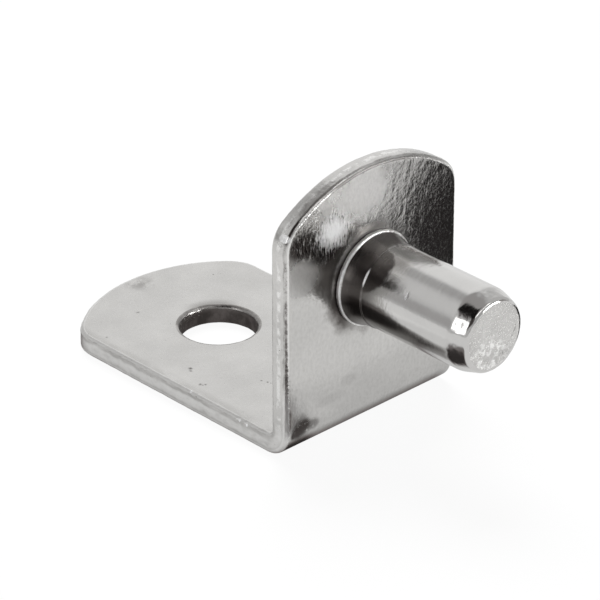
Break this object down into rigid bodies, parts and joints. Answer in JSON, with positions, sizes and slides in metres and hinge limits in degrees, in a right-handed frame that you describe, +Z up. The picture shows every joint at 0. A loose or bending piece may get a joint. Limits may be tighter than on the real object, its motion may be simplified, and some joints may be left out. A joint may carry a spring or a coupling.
{
  "type": "shelf support pin",
  "caption": "Folded sheet-steel angle for holding up a shelf: a level leg with a plain screw hole and an upright leg with a solid riveted pin.",
  "frame": {"origin": "on the pin's axis, in the outer face of the upright leg, which meets the cabinet's side", "axes": "+X along the pin into the cabinet's side, +Z up, so that the shelf lies on the level leg; Y runs across the width"},
  "size_m": [0.0363, 0.016, 0.0198],
  "materials": {
    "plated_sheet": "satin nickel plating",
    "plated_pin": "bright nickel plating"
  },
  "bodies": {
    "root": {"angle_plate": "plated_sheet", "support_pin": "plated_pin"}
  },
  "joints": []
}
